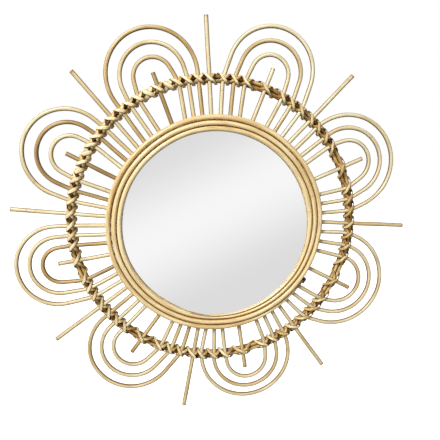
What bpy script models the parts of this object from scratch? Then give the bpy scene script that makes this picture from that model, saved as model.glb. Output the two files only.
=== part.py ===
# A wall mirror: round glass in three cane rings, with a flower of bent canes bound to a hoop.
# Upright as it hangs: +Z up, the front looks along -Y, and the wall is the plane Y = 0.
# The origin is the centre of the backing board's back face, where the mirror meets the wall.

import math

import bmesh
import bpy
from mathutils import Vector

MM = 0.001

# Driving dimensions, in millimetres.
CANE = 6.0                # diameter of the bent canes and the sticks
RING_CANE = 7.9           # diameter of the three rings round the glass
HOOP_CANE = 6.0           # diameter of the two core canes of the bound hoop
SIGHT_RADIUS = 140.6      # glass that shows inside the innermost ring
GLASS_THICKNESS = 3.0
GLASS_COVER = 5.0         # how far the innermost ring covers the glass
FOOT_CLEARANCE = 1.7      # between the glass edge and the inner ends of the canes
PAD_SETBACK = 1.0         # the board's raised pad stops this far inside the glass edge
BOARD_SETBACK = 6.5       # the board stops this far inside the outer ring's edge
BOARD_CHAMFER = 1.5
HOOP_OUTSET = 48.6        # from the rings' outer edge to the middle of the bound hoop
HOOP_CENTRE = (-2.8, 2.8)  # the hoop was lashed by hand, a little up and to the left of the glass
PEEL_WIDTH = 3.4          # strip of rattan peel that binds the hoop, measured along the hoop
PEEL_THICKNESS = 1.0
PEEL_CLEARANCE = 0.5      # between a strip and the side of the cane that it goes over
CLIP_WIDTH = 9.0
CLIP_THICKNESS = 1.2
CLIP_LENGTH = 16.0
CLIP_PROUD = 3.2          # the clip's end shows this far outside the outer ring
CLIP_FOLD = 8.0           # and is folded this far forward, along the ring's side
CLIP_BEARING = -33.4
PEEL_TURN = 6.2           # half the flat front of one turn of peel, across the hoop
PEEL_SPREAD = 0.31        # share of the room between two canes that a turn spreads into
PEEL_REACH = 8.5          # and the most that it spreads
GAP = 0.3                 # clearance between pieces that touch

# The flower. Bearings are in degrees from +X towards +Z, as seen from the front, and lengths are
# shares of the hoop's radius.
# One row for each long ray, clockwise from the top one: the bearing where it leaves the rings,
# the bearing of its tip, how far past the hoop it reaches, the spacing in degrees of the three
# legs that stand before it and after it, and their spacing where they are bound to the hoop.
RAYS = (
    (92.5, 92.7, 0.4192, 4.5, 4.9, 3.75, 4.45),
    (48.4, 47.3, 0.4145, 4.8, 4.8, 4.65, 4.25),
    (0.5, -1.2, 0.3911, 5.0, 5.3, 4.75, 4.7),
    (-52.9, -53.6, 0.3724, 5.1, 4.9, 5.3, 4.6),
    (-100.0, -100.2, 0.4005, 4.4, 4.8, 4.35, 4.5),
    (-145.6, -144.9, 0.4098, 4.8, 4.4, 4.5, 3.95),
    (-185.6, -185.5, 0.4145, 4.7, 4.3, 4.05, 4.3),
    (-225.5, -227.6, 0.4192, 4.4, 4.6, 3.95, 3.9),
)

# One row for each petal, each standing before the ray of the same number: the bearing of its
# middle, how far past the hoop that lies, how much farther for each next arch, the innermost
# arch's radius, and the step in radius from one arch to the next.
PETALS = (
    (112.7, 0.1007, 0.0070, 0.1311, 0.0876),
    (70.4, 0.1054, 0.0117, 0.1311, 0.0815),
    (25.0, 0.0539, -0.0070, 0.1513, 0.0913),
    (-25.3, -0.0023, -0.0070, 0.1728, 0.0881),
    (-77.6, 0.0492, -0.0187, 0.1471, 0.0913),
    (-124.5, 0.0773, 0.0070, 0.1433, 0.0815),
    (-166.4, 0.1241, 0.0117, 0.1246, 0.0778),
    (-206.8, 0.1054, 0.0141, 0.1311, 0.0815),
)

# One row for each short stick: its bearing at the rings, the bearing of its tip, and how far past
# the hoop it reaches.
STICKS = (
    (113.2, 112.2, 0.1288),
    (70.8, 70.0, 0.1522),
    (24.3, 23.8, 0.1522),
    (-26.1, -26.5, 0.1148),
    (-77.6, -78.8, 0.1148),
    (-122.5, -123.7, 0.1241),
    (-165.3, -167.0, 0.1382),
    (-206.0, -206.6, 0.1382),
)

LAYERS = ("inner", "middle", "outer")

# Levels from the wall outwards. The board is as thick as the hoop and its binding are behind
# the canes, so that the binding just clears the wall.
BOARD_THICKNESS = HOOP_CANE + 2.0 * PEEL_THICKNESS + 4.0 * GAP
CANE_Y = -(BOARD_THICKNESS + GAP + CANE / 2.0)
CORE_Y = CANE_Y + CANE / 2.0 + GAP + HOOP_CANE / 2.0
RING_Y = CANE_Y - CANE / 2.0 - GAP - RING_CANE / 2.0
GLASS_FRONT_Y = RING_Y + RING_CANE / 2.0 + GAP
GLASS_BACK_Y = GLASS_FRONT_Y + GLASS_THICKNESS
PAD_Y = GLASS_BACK_Y + GAP
PEEL_STEP = PEEL_THICKNESS + GAP

# Radii that follow.
RING_RADII = [SIGHT_RADIUS + RING_CANE / 2.0 + i * (RING_CANE + GAP) for i in range(3)]
RIM_RADIUS = RING_RADII[2] + RING_CANE / 2.0
HOOP_RADIUS = RIM_RADIUS + HOOP_OUTSET
GLASS_RADIUS = SIGHT_RADIUS + GLASS_COVER
FOOT_RADIUS = GLASS_RADIUS + FOOT_CLEARANCE
CORE_OFFSET = (HOOP_CANE + GAP) / 2.0

RAY_ROOM = 0.75            # degrees at the hoop that a ray has more on each side than a leg has
KNEE_ROOM = 1.03          # a leg is bent at the hoop if that is this many radii from its arch's centre
CROSSING_REACH = 8.0      # how far each side of the hoop's middle line the binding follows a cane

CANE_SIDES = 6
RING_SEGMENTS = 40
CORE_SIDES = 5
CORE_SEGMENTS = 64
DISC_SEGMENTS = 40


def polar(radius, bearing, centre=(0.0, 0.0)):
    angle = math.radians(bearing)
    return Vector((centre[0] + radius * math.cos(angle), centre[1] + radius * math.sin(angle)))


def at(flat, y):
    return Vector((flat.x, y, flat.y))


def material(name, colour, roughness, metallic=0.0):
    made = bpy.data.materials.new(name)
    made.use_nodes = True
    shader = made.node_tree.nodes["Principled BSDF"]
    shader.inputs["Base Color"].default_value = (*colour, 1.0)
    shader.inputs["Roughness"].default_value = roughness
    shader.inputs["Metallic"].default_value = metallic
    return made


def finish(name, bm, colour, roughness, metallic=0.0):
    bmesh.ops.recalc_face_normals(bm, faces=bm.faces)
    if bm.calc_volume(signed=True) < 0.0:
        bmesh.ops.reverse_faces(bm, faces=bm.faces)
    mesh = bpy.data.meshes.new(name)
    bm.to_mesh(mesh)
    bm.free()
    mesh.shade_smooth()
    mesh.set_sharp_from_angle(angle=math.radians(50.0))
    mesh.materials.append(material(name, colour, roughness, metallic))
    made = bpy.data.objects.new(name, mesh)
    bpy.context.scene.collection.objects.link(made)
    return made


def sweep(path, outward, profile, closed):
    """A profile of (across, out) points carried along a path, its corners mitred."""
    bm = bmesh.new()
    count = len(path)
    sections = []
    for i, point in enumerate(path):
        before = path[i - 1] if closed or i > 0 else None
        after = path[(i + 1) % count] if closed or i < count - 1 else None
        arriving = (point - before).normalized() if before is not None else None
        leaving = (after - point).normalized() if after is not None else None
        arriving = arriving if arriving is not None else leaving
        leaving = leaving if leaving is not None else arriving
        along = (arriving + leaving).normalized()
        out = outward[i] - along * outward[i].dot(along)
        out.normalize()
        across = along.cross(out)
        bend = leaving - arriving
        stretch = 2.0 / (arriving + leaving).length - 1.0
        ring = []
        for x, z in profile:
            offset = across * x + out * z
            if bend.length > 1e-6:
                fold = bend.normalized()
                offset = offset + fold * offset.dot(fold) * stretch
            ring.append(bm.verts.new((point + offset) * MM))
        sections.append(ring)
    sides = len(profile)
    for i in range(count if closed else count - 1):
        one = sections[i]
        two = sections[(i + 1) % count]
        for j in range(sides):
            k = (j + 1) % sides
            bm.faces.new((one[j], one[k], two[k], two[j]))
    if not closed:
        bm.faces.new(sections[0])
        bm.faces.new(sections[-1])
    return bm


def round_profile(diameter, sides):
    radius = diameter / 2.0
    turns = [2.0 * math.pi * (j + 0.5) / sides for j in range(sides)]
    return [(radius * math.cos(turn), radius * math.sin(turn)) for turn in turns]


def cane(name, flat_points, y, diameter, sides, closed=False, colour=(0.72, 0.53, 0.27)):
    path = [at(point, y) for point in flat_points]
    front = [Vector((0.0, -1.0, 0.0))] * len(path)
    bm = sweep(path, front, round_profile(diameter, sides), closed)
    return finish(name, bm, colour, 0.45)


def hoop_of_cane(name, radius, centre, y, diameter, sides, segments, colour):
    turns = [360.0 * i / segments for i in range(segments)]
    points = [polar(radius, turn, centre) for turn in turns]
    return cane(name, points, y, diameter, sides, closed=True, colour=colour)


def turned(name, profile, colour, roughness, metallic=0.0):
    """A disc turned about Y from (radius, y) points that start and end on the axis."""
    bm = bmesh.new()
    verts = [bm.verts.new((radius * MM, y * MM, 0.0)) for radius, y in profile]
    edges = [bm.edges.new(pair) for pair in zip(verts, verts[1:])]
    bmesh.ops.spin(bm, geom=verts + edges, cent=(0.0, 0.0, 0.0), axis=(0.0, 1.0, 0.0),
                   angle=2.0 * math.pi, steps=DISC_SEGMENTS, use_merge=True)
    bmesh.ops.remove_doubles(bm, verts=bm.verts, dist=0.00001)
    return finish(name, bm, colour, roughness, metallic)


def straight_cane(foot, tip):
    """The two ends of a cane that runs from under the rings to its tip."""
    direction = (tip - foot).normalized()
    return [reach_in(foot, direction), tip]


def reach_in(point, direction):
    """Back along a cane from a point outside the rings to its end at FOOT_RADIUS."""
    b = point.dot(direction)
    c = point.length_squared - FOOT_RADIUS ** 2
    return point - direction * (b - math.sqrt(b * b - c))


def touch(foot, centre, radius, side):
    """Where a straight leg from foot runs into a round arch; side is +1 left, -1 right."""
    reach = centre - foot
    aim = math.atan2(reach.y, reach.x) + side * math.asin(radius / reach.length)
    length = math.sqrt(reach.length_squared - radius ** 2)
    return foot + Vector((math.cos(aim), math.sin(aim))) * length


def leg_bearing(petal, layer, side):
    """Legs stand beside the long rays: the outermost arch's next to the ray, then inwards."""
    place = len(LAYERS) - layer
    if side > 0:
        ray = RAYS[petal - 1]
        turn = 360.0 if petal == 0 else 0.0
        return ray[0] + turn - ray[4] * place
    return RAYS[petal][0] + RAYS[petal][3] * place


def ray_points(number):
    foot_bearing, tip_bearing, overhang = RAYS[number][:3]
    tip = polar(HOOP_RADIUS * (1.0 + overhang), tip_bearing)
    return straight_cane(polar(RIM_RADIUS, foot_bearing), tip)


def knee_bearing(petal, layer, side):
    """The bearing about the hoop's centre at which a leg is bound to the hoop."""
    place = len(LAYERS) - layer
    ray = petal - 1 if side > 0 else petal
    spacing = RAYS[ray][6] if side > 0 else RAYS[ray][5]
    return math.degrees(hoop_angle(ray_points(ray), 0.0)) - side * (spacing * place + RAY_ROOM)


def arch_points(petal, layer):
    """Two legs that run out to the hoop, bend there, and run into a round top. A leg whose place
    on the hoop lies within the sweep of its round top isn't bent there."""
    bearing, beyond, rise, radius, step = PETALS[petal]
    centre = polar(HOOP_RADIUS * (1.0 + beyond + rise * layer), bearing)
    size = HOOP_RADIUS * (radius + step * layer)
    legs = []
    for side in (1, -1):
        foot = polar(RIM_RADIUS, leg_bearing(petal, layer, side))
        knee = polar(HOOP_RADIUS, knee_bearing(petal, layer, side), HOOP_CENTRE)
        if (knee - centre).length > KNEE_ROOM * size:
            meet = touch(knee, centre, size, side)
            legs.append([reach_in(foot, (knee - foot).normalized()), knee, meet])
        else:
            meet = touch(foot, centre, size, side)
            legs.append([reach_in(foot, (meet - foot).normalized()), meet])
    start, stop = [math.atan2((leg[-1] - centre).y, (leg[-1] - centre).x) for leg in legs]
    while stop > start:
        stop -= 2.0 * math.pi
    bends = 6 + 2 * layer
    arc = [start + (stop - start) * i / bends for i in range(bends + 1)]
    top = [centre + Vector((math.cos(a), math.sin(a))) * size for a in arc]
    return legs[0][:-1] + top + legs[1][:-1][::-1]


def hoop_angle(points, off):
    """Where a cane, followed from its foot, is off from the hoop's middle line: its angle in
    radians about the hoop's centre."""
    centre = Vector(HOOP_CENTRE)
    radius = HOOP_RADIUS + off
    inside, outside = next(pair for pair in zip(points, points[1:])
                           if (pair[1] - centre).length > radius)
    start = inside - centre
    run = (outside - inside).normalized()
    b = start.dot(run)
    c = start.length_squared - radius ** 2
    hit = start + run * (-b + math.sqrt(b * b - c))
    return math.atan2(hit.y, hit.x)


def hoop_crossing(points):
    """Where a cane crosses the hoop: the angle about the hoop's centre, and how far the cane moves
    along the hoop for each millimetre outwards, just inside the hoop and just outside it."""
    angle = hoop_angle(points, 0.0)
    slopes = []
    for off in (-CROSSING_REACH, CROSSING_REACH):
        moved = math.remainder(hoop_angle(points, off) - angle, 2.0 * math.pi)
        slopes.append(moved * HOOP_RADIUS / off)
    return angle, slopes[0], slopes[1]


def on_hoop(angle, along, off, y):
    """A point beside the hoop: along it and off it from its middle line, at depth y."""
    here = angle + along / HOOP_RADIUS
    return at(polar(HOOP_RADIUS + off, math.degrees(here), HOOP_CENTRE), y)


def corner(before, here, after):
    """Which way a strip's outside lies where it folds round a corner of its turn."""
    normals = [Vector((b.y - a.y, a.x - b.x)).normalized() for a, b in ((before, here), (here, after))]
    return (normals[0] + normals[1]) / (1.0 + normals[0].dot(normals[1]))


def binding(name, crossings, slant, level, colour):
    """A strip of peel wound once round the cores for each cane, so it crosses over that cane.

    slant is +1 where it crosses from inside to outside, -1 the other way; level is how many
    strips lie beneath it.
    """
    lift = GAP + PEEL_THICKNESS / 2.0 + level * PEEL_STEP
    front_y = CANE_Y - CANE / 2.0 - lift
    back_y = CORE_Y + HOOP_CANE / 2.0 + lift
    core = Vector((CORE_OFFSET, CORE_Y))
    front = Vector((PEEL_TURN, front_y))
    side = touch(front, core, HOOP_CANE / 2.0 + lift, -1)
    wide = front.x + (side.x - front.x) * (back_y - front.y) / (side.y - front.y)
    turn = [Vector((-wide, back_y)), Vector((-PEEL_TURN, front_y)), front, Vector((wide, back_y))]
    folds = [corner(turn[i - 1], turn[i], turn[(i + 1) % 4]) for i in range(4)]
    beside = CANE / 2.0 + PEEL_CLEARANCE + PEEL_WIDTH / 2.0
    half = PEEL_THICKNESS / 2.0
    bm = bmesh.new()
    sections = []
    count = len(crossings)
    for i, (angle, slope_inside, slope_outside) in enumerate(crossings):
        rooms = [(angle - crossings[i - 1][0]) % (2.0 * math.pi) * HOOP_RADIUS,
                 (crossings[(i + 1) % count][0] - angle) % (2.0 * math.pi) * HOOP_RADIUS]
        spread = [min(max(beside, PEEL_SPREAD * room), PEEL_REACH) for room in rooms]
        for along, place, fold in zip((-spread[0], -beside, beside, spread[1]), turn, folds):
            flat = slant * place.x
            middle = along + (slope_outside if flat > 0.0 else slope_inside) * flat
            low = place - fold * half
            high = place + fold * half
            section = [on_hoop(angle, middle + edge * PEEL_WIDTH / 2.0, slant * low.x, low.y)
                       for edge in (-1, 1)]
            section.append(on_hoop(angle, middle, slant * high.x, high.y))
            sections.append([bm.verts.new(point * MM) for point in section])
    for one, two in zip(sections, sections[1:] + sections[:1]):
        for j in range(3):
            k = (j + 1) % 3
            bm.faces.new((one[j], one[k], two[k], two[j]))
    return finish(name, bm, colour, 0.5)


for old in list(bpy.data.objects):
    bpy.data.objects.remove(old, do_unlink=True)

# The glass and the board that it lies on.
turned("mirror_glass", ((0.0, GLASS_FRONT_Y), (GLASS_RADIUS, GLASS_FRONT_Y),
                        (GLASS_RADIUS, GLASS_BACK_Y), (0.0, GLASS_BACK_Y)),
       (0.86, 0.86, 0.87), 0.03, 1.0)
PAD_RADIUS = GLASS_RADIUS - PAD_SETBACK
BOARD_RADIUS = RIM_RADIUS - BOARD_SETBACK
turned("backing_board", ((0.0, PAD_Y), (PAD_RADIUS, PAD_Y), (PAD_RADIUS, -BOARD_THICKNESS),
                         (BOARD_RADIUS, -BOARD_THICKNESS), (BOARD_RADIUS, -BOARD_CHAMFER),
                         (BOARD_RADIUS - BOARD_CHAMFER, 0.0), (0.0, 0.0)),
       (0.42, 0.30, 0.18), 0.8)

# The three rings that lie on the canes' inner ends and hold the glass down.
for ring_name, ring_radius in zip(("ring_inner", "ring_middle", "ring_outer"), RING_RADII):
    hoop_of_cane(ring_name, ring_radius, (0.0, 0.0), RING_Y, RING_CANE, CANE_SIDES,
                 RING_SEGMENTS, (0.80, 0.58, 0.28))

# The rays, the short sticks and the three arches of every petal lie in one plane.
crossings = []
for number in range(len(RAYS)):
    ends = ray_points(number)
    crossings.append(hoop_crossing(ends))
    cane("long_ray_%d" % number, ends, CANE_Y, CANE, CANE_SIDES)
for number, (foot_bearing, tip_bearing, overhang) in enumerate(STICKS):
    tip = polar(HOOP_RADIUS * (1.0 + overhang), tip_bearing)
    ends = straight_cane(polar(RIM_RADIUS, foot_bearing), tip)
    crossings.append(hoop_crossing(ends))
    cane("short_stick_%d" % number, ends, CANE_Y, CANE, CANE_SIDES)
for number in range(len(PETALS)):
    for layer, layer_name in enumerate(LAYERS):
        points = arch_points(number, layer)
        crossings.append(hoop_crossing(points))
        crossings.append(hoop_crossing(points[::-1]))
        cane("arch_%d_%s" % (number, layer_name), points, CANE_Y, CANE, CANE_SIDES)

# The hoop: two core canes behind the others, bound to each of them by crossing strips of peel.
hoop_of_cane("hoop_core_inner", HOOP_RADIUS - CORE_OFFSET, HOOP_CENTRE, CORE_Y, HOOP_CANE,
             CORE_SIDES, CORE_SEGMENTS, (0.48, 0.31, 0.15))
hoop_of_cane("hoop_core_outer", HOOP_RADIUS + CORE_OFFSET, HOOP_CENTRE, CORE_Y, HOOP_CANE,
             CORE_SIDES, CORE_SEGMENTS, (0.48, 0.31, 0.15))
crossings.sort()
binding("binding_under", crossings, -1, 0, (0.66, 0.47, 0.24))
binding("binding_over", crossings, 1, 1, (0.74, 0.56, 0.30))

# A dark metal clip on the board's front. Its end is folded forward and shows outside the rim at
# lower right.
clip_top = -(BOARD_THICKNESS + GAP)
clip_under = clip_top - CLIP_THICKNESS
clip_front = clip_top - CLIP_FOLD
clip_out = RIM_RADIUS + CLIP_PROUD
clip_fold = RIM_RADIUS + GAP
clip_foot = clip_out - CLIP_LENGTH
clip_outline = ((clip_foot, clip_top), (clip_fold, clip_top), (clip_out, clip_top), (clip_out, clip_under),
                (clip_out, clip_front), (clip_fold, clip_front), (clip_fold, clip_under),
                (clip_foot, clip_under))
clip = bmesh.new()
turn = math.radians(CLIP_BEARING)
clip_sides = []
for side in (-CLIP_WIDTH / 2.0, CLIP_WIDTH / 2.0):
    verts = [clip.verts.new(Vector((along * math.cos(turn) - side * math.sin(turn), depth,
                                    along * math.sin(turn) + side * math.cos(turn))) * MM)
             for along, depth in clip_outline]
    for corners in ((0, 1, 6, 7), (1, 2, 3, 6), (6, 3, 4, 5)):
        clip.faces.new([verts[i] for i in corners])
    clip_sides.append(verts)
one, two = clip_sides
for i in range(len(one)):
    following = (i + 1) % len(one)
    clip.faces.new((one[i], one[following], two[following], two[i]))
bmesh.ops.recalc_face_normals(clip, faces=clip.faces)
finish("rim_clip", clip, (0.06, 0.06, 0.06), 0.5, 0.8)
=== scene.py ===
# A wall mirror of rattan: round glass held by a cane wound three times round, with a flower of bent
# canes lashed to a hoop. The sections follow the mirror as it is put together, from the board outwards.
# Metres, +Z up, the front looks along -Y and the wall is the plane Y = 0.

import math

import bmesh
import bpy
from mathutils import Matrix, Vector


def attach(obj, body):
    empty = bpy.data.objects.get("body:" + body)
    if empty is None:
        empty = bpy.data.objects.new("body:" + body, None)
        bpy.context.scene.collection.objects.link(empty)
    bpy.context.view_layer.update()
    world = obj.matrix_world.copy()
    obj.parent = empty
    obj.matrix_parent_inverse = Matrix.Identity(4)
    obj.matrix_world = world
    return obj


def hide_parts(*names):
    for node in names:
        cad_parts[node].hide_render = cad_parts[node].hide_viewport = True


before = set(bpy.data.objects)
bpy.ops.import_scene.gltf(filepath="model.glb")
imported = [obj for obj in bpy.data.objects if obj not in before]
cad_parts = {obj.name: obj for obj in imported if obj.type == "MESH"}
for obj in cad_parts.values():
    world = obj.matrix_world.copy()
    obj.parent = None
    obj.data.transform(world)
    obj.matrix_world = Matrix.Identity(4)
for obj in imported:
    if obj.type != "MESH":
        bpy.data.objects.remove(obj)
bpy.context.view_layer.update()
MM = 0.001

# The camera stands a little to the left of the mirror and above its middle, about 0.74 m away,
# and looks slightly down and to the right at it, as the photograph was taken.
CAMERA_PLACE = (-0.0719, -0.7385, 0.1336)
CAMERA_AZIMUTH = -6.1
CAMERA_ELEVATION = 9.8
CAMERA_LENS = 39.76

camera = bpy.data.objects.new("camera", bpy.data.cameras.new("camera"))
camera.data.lens = CAMERA_LENS
camera.data.sensor_width = 36.0
camera.data.clip_start = 0.01
camera.location = CAMERA_PLACE
camera.rotation_euler = (math.radians(90.0 - CAMERA_ELEVATION), 0.0, math.radians(CAMERA_AZIMUTH))
bpy.context.scene.collection.objects.link(camera)
bpy.context.scene.camera = camera


# The backing board is a disc of thin plywood, sawn round, with a thinner disc glued on its front
# that carries the glass. Its back is sanded, and its edge shows the plies.
BOARD_THICKNESS = 9.2
BOARD_RADIUS = 158.4
BOARD_ROUNDING = 1.5
BACK_EDGE_BULGE = (0.45, 0.30)    # where its rounding bulges, in shares of it, inwards and forwards
FRONT_CHAMFER = 0.4
PAD_RADIUS = 144.6
PAD_CHAMFER = 0.3
PAD_Y = -12.2
DISC_STEPS = 160
DISC_SHARP = 35.0         # degrees past which an edge of a disc is a crisp one


def linear(colour):
    """An sRGB hex colour as linear red, green, blue and alpha."""
    parts = [int(colour[i:i + 2], 16) / 255.0 for i in (1, 3, 5)]
    return [p / 12.92 if p <= 0.04045 else ((p + 0.055) / 1.055) ** 2.4 for p in parts] + [1.0]


def put(tree, kind, inputs=(), **settings):
    """Adds a node with its settings; inputs maps a socket's name or number to a value or a link."""
    made = tree.nodes.new(kind)
    for name, value in settings.items():
        setattr(made, name, value)
    for name, value in dict(inputs).items():
        if isinstance(value, bpy.types.NodeSocket):
            tree.links.new(value, made.inputs[name])
        else:
            made.inputs[name].default_value = value
    return made


def new_material(name):
    made = bpy.data.materials.new(name)
    made.use_nodes = True
    made.node_tree.nodes.clear()
    return made, made.node_tree


def shade(tree, **sockets):
    """The principled shader and the output; socket names are given with underscores for spaces."""
    named = {name.replace("_", " "): value for name, value in sockets.items()}
    shader = put(tree, "ShaderNodeBsdfPrincipled", named)
    put(tree, "ShaderNodeOutputMaterial", {"Surface": shader.outputs["BSDF"]})
    return shader


def ramp(tree, factor, stops):
    """A colour ramp through (place, hex colour) stops."""
    made = put(tree, "ShaderNodeValToRGB", {"Fac": factor})
    elements = made.color_ramp.elements
    while len(elements) < len(stops):
        elements.new(0.5)
    for element, (place, colour) in zip(elements, stops):
        element.position = place
        element.color = linear(colour)
    return made.outputs["Color"]


def show(name, mesh, *materials):
    for material in materials:
        mesh.materials.append(material)
    made = bpy.data.objects.new(name, mesh)
    bpy.context.scene.collection.objects.link(made)
    return made


def turned(name, profile, material):
    """A disc turned about the mirror's axis from (radius, y) points in millimetres."""
    bm = bmesh.new()
    verts = [bm.verts.new((radius * MM, y * MM, 0.0)) for radius, y in profile]
    edges = [bm.edges.new(pair) for pair in zip(verts, verts[1:])]
    bmesh.ops.spin(bm, geom=verts + edges, cent=(0.0, 0.0, 0.0), axis=(0.0, 1.0, 0.0),
                   angle=2.0 * math.pi, steps=DISC_STEPS, use_merge=True)
    bmesh.ops.remove_doubles(bm, verts=bm.verts, dist=0.00001)
    bmesh.ops.recalc_face_normals(bm, faces=bm.faces)
    mesh = bpy.data.meshes.new(name)
    bm.to_mesh(mesh)
    bm.free()
    mesh.shade_smooth()
    mesh.set_sharp_from_angle(angle=math.radians(DISC_SHARP))
    return show(name, mesh, material)


# Birch plywood: cream veneer with long soft grain, and darker glue lines on the sawn edge.
PLY_STEP = 1.5
GRAIN_SCALE = (220.0, 700.0, 9.0)    # per metre: 4.5 mm wide, 1.4 mm deep and 110 mm long
plywood, tree = new_material("birch_plywood")
place = put(tree, "ShaderNodeTexCoord").outputs["Object"]
stretched = put(tree, "ShaderNodeMapping", {"Vector": place, "Scale": GRAIN_SCALE})
grain = put(tree, "ShaderNodeTexNoise", {"Vector": stretched.outputs[0], "Scale": 1.0, "Detail": 5.0,
                                         "Roughness": 0.6, "Distortion": 0.7})
veneer = ramp(tree, grain.outputs["Fac"], [(0.30, "#b8935f"), (0.52, "#d2b080"), (0.70, "#e0c69b")])
depth = put(tree, "ShaderNodeSeparateXYZ", {0: place}).outputs["Y"]
plies = put(tree, "ShaderNodeMath", {0: depth, 1: 1.0 / (PLY_STEP * MM), 2: 0.5}, operation="MULTIPLY_ADD")
line = put(tree, "ShaderNodeMath", {0: plies.outputs[0], 1: 1.0}, operation="PINGPONG")
glue = ramp(tree, line.outputs[0], [(0.0, "#8a6238"), (0.16, "#ffffff"), (0.9, "#e6d4b8")])
wood = put(tree, "ShaderNodeMix", {0: 0.8, 6: veneer, 7: glue}, data_type="RGBA", blend_type="MULTIPLY")
relief = put(tree, "ShaderNodeBump", {"Height": grain.outputs["Fac"], "Strength": 0.25, "Distance": 0.0002})
shade(tree, Base_Color=wood.outputs[2], Roughness=0.68, Normal=relief.outputs[0])

board = turned("backing_board_round", (
    (0.0, PAD_Y), (PAD_RADIUS - PAD_CHAMFER, PAD_Y), (PAD_RADIUS, PAD_Y + PAD_CHAMFER),
    (PAD_RADIUS, -BOARD_THICKNESS), (BOARD_RADIUS - FRONT_CHAMFER, -BOARD_THICKNESS),
    (BOARD_RADIUS, -BOARD_THICKNESS + FRONT_CHAMFER), (BOARD_RADIUS, -BOARD_ROUNDING),
    (BOARD_RADIUS - BACK_EDGE_BULGE[0] * BOARD_ROUNDING, -BACK_EDGE_BULGE[1] * BOARD_ROUNDING),
    (BOARD_RADIUS - BOARD_ROUNDING, 0.0), (0.0, 0.0)), plywood)
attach(board, "root")
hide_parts("backing_board")


# The mirror is 3 mm float glass, silvered behind, with its edge ground. It lies on the board's
# pad, and the innermost turn of the rings' cane covers its edge.
GLASS_RADIUS = 145.6
GLASS_FRONT = -15.5
GLASS_BACK = -12.5
GLASS_ARRIS = 0.4

# Silvered glass: what shows is the silver behind the glass, so it is a metal with almost no
# roughness, a trace cooler than neutral.
silver, tree = new_material("silvered_glass")
shade(tree, Base_Color=linear("#f4f4f4"), Metallic=1.0, Roughness=0.03)

glass = turned("mirror_glass_ground", (
    (0.0, GLASS_FRONT), (GLASS_RADIUS - GLASS_ARRIS, GLASS_FRONT), (GLASS_RADIUS, GLASS_FRONT + GLASS_ARRIS),
    (GLASS_RADIUS, GLASS_BACK - GLASS_ARRIS), (GLASS_RADIUS - GLASS_ARRIS, GLASS_BACK),
    (0.0, GLASS_BACK)), silver)
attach(glass, "root")
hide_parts("mirror_glass")


# The flower is of peeled rattan canes, 6 mm thick, steamed and bent by hand: long rays, short
# sticks, and petals of three nested arches. All lie in one layer, with their feet on the board
# round the glass, where the rings clamp them. Their ends are cut square.
CANE = 6.0
CANE_Y = -12.5
RIM_RADIUS = 164.9
FOOT_RADIUS = 147.3
HOOP_RADIUS = 213.5
HOOP_CENTRE = (-2.8, 2.8)
CANE_STEP = 4.0
CANE_SIDES = 16
CANE_SHOWN = 6.3           # the bark of a real cane makes it a little thicker than its solid
RAY_ROOM = 0.75            # degrees at the hoop that a ray has more on each side than a leg has
KNEE_ROOM = 1.03           # a leg bends at the hoop if that is this many radii from its arch's centre
KNEE_EASE = 14.0
KNEE_SHARE = 0.8           # the most of a leg's upper stretch that its bend may take
KNEE_STEPS = 6

# Bearings are in degrees from +X towards +Z, as seen from the front, and lengths are shares of
# the hoop's radius. A ray has its bearing at the rings, that of its tip, how far past the hoop it
# reaches, the spacing of the petals' legs before and after it at the rings, the same at the hoop,
# and its tone, 0 pale to 1 brown.
RAYS = (
    (92.5, 92.7, 0.4192, 4.5, 4.9, 3.75, 4.45, 0.25),
    (48.4, 47.3, 0.4145, 4.8, 4.8, 4.65, 4.25, 0.20),
    (0.5, -1.2, 0.3911, 5.0, 5.3, 4.75, 4.7, 0.55),
    (-52.9, -53.6, 0.3724, 5.1, 4.9, 5.3, 4.6, 0.45),
    (-100.0, -100.2, 0.4005, 4.4, 4.8, 4.35, 4.5, 0.40),
    (-145.6, -144.9, 0.4098, 4.8, 4.4, 4.5, 3.95, 0.30),
    (-185.6, -185.5, 0.4145, 4.7, 4.3, 4.05, 4.3, 0.20),
    (-225.5, -227.6, 0.4192, 4.4, 4.6, 3.95, 3.9, 0.48),
)
# A petal has the bearing of its middle, how far past the hoop that lies, how much farther for
# each next arch, the inner arch's radius, the step to the next, and the tones of its arches.
PETALS = (
    (112.7, 0.1007, 0.0070, 0.1311, 0.0876, (0.50, 0.38, 0.64)),
    (70.4, 0.1054, 0.0117, 0.1311, 0.0815, (0.20, 0.55, 0.15)),
    (25.0, 0.0539, -0.0070, 0.1513, 0.0913, (0.15, 0.25, 0.20)),
    (-25.3, -0.0023, -0.0070, 0.1728, 0.0881, (0.30, 0.30, 0.20)),
    (-77.6, 0.0492, -0.0187, 0.1471, 0.0913, (0.20, 0.35, 0.25)),
    (-124.5, 0.0773, 0.0070, 0.1433, 0.0815, (0.25, 0.30, 0.55)),
    (-166.4, 0.1241, 0.0117, 0.1246, 0.0778, (0.85, 0.30, 0.20)),
    (-206.8, 0.1054, 0.0141, 0.1311, 0.0815, (0.25, 0.88, 0.30)),
)
# A short stick has its bearing at the rings, that of its tip, its overhang and its tone.
STICKS = (
    (113.2, 112.2, 0.1288, 0.85),
    (70.8, 70.0, 0.1522, 0.10),
    (24.3, 23.8, 0.1522, 0.15),
    (-26.1, -26.5, 0.1148, 0.35),
    (-77.6, -78.8, 0.1148, 0.45),
    (-122.5, -123.7, 0.1241, 0.65),
    (-165.3, -167.0, 0.1382, 0.30),
    (-206.0, -206.6, 0.1382, 0.90),
)
LAYERS = ("inner", "middle", "outer")


def polar(radius, bearing, centre=(0.0, 0.0)):
    """A point of the mirror's plane, from its distance and its bearing in degrees."""
    angle = math.radians(bearing)
    return Vector((centre[0] + radius * math.cos(angle), centre[1] + radius * math.sin(angle)))


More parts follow.
